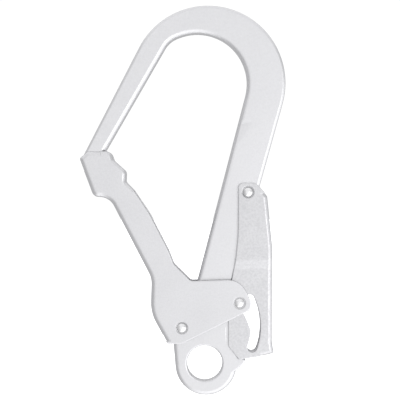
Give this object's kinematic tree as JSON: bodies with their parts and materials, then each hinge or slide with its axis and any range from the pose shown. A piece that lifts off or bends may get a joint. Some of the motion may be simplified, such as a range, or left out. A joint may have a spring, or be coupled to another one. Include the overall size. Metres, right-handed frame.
{
  "type": "snap hook",
  "caption": "Large-opening double-action steel snap hook with a sheet gate, a squeeze lock lever on the spine and a round lanyard eye.",
  "frame": {"origin": "centre of the lanyard eye's bore, halfway through the thickness", "axes": "+Z from the eye up to the crown, +X across the hook from the gate towards the spine, +Y through the thickness"},
  "size_m": [0.126, 0.0188, 0.2396],
  "materials": {
    "forged_steel": "zinc plated, satin",
    "sheet_steel": "zinc plated, satin",
    "rivet_steel": "polished head",
    "spring_steel": "drawn wire"
  },
  "bodies": {
    "hook": {"hook_body": "forged_steel"},
    "keeper": {"gate": "sheet_steel", "gate_pivot_rivet": "rivet_steel", "lock_pin": "rivet_steel", "gate_spring": "spring_steel"},
    "lever": {"lock_lever": "sheet_steel", "lever_pivot_rivet": "rivet_steel", "lever_spring": "spring_steel"}
  },
  "joints": [
    {"name": "gate_swing", "type": "hinge", "parent": "hook", "child": "keeper", "pos_m": [-0.014, 0, 0.0222], "axis": [0, 1, 0], "range_deg": [0, 34], "stiffness_Nm_per_rad": 0.15, "springref_deg": -45.84, "deforming": ["gate_spring"]},
    {"name": "lever_squeeze", "type": "hinge", "parent": "hook", "child": "lever", "pos_m": [0.0265, 0, 0.1051], "axis": [0, 1, 0], "range_deg": [0, 5.2], "stiffness_Nm_per_rad": 0.5, "springref_deg": -22.92, "deforming": ["lever_spring"]}
  ],
  "couplings": [
    {"joint": "lever_squeeze", "follows": "gate_swing", "ratio": 0.15294}
  ]
}
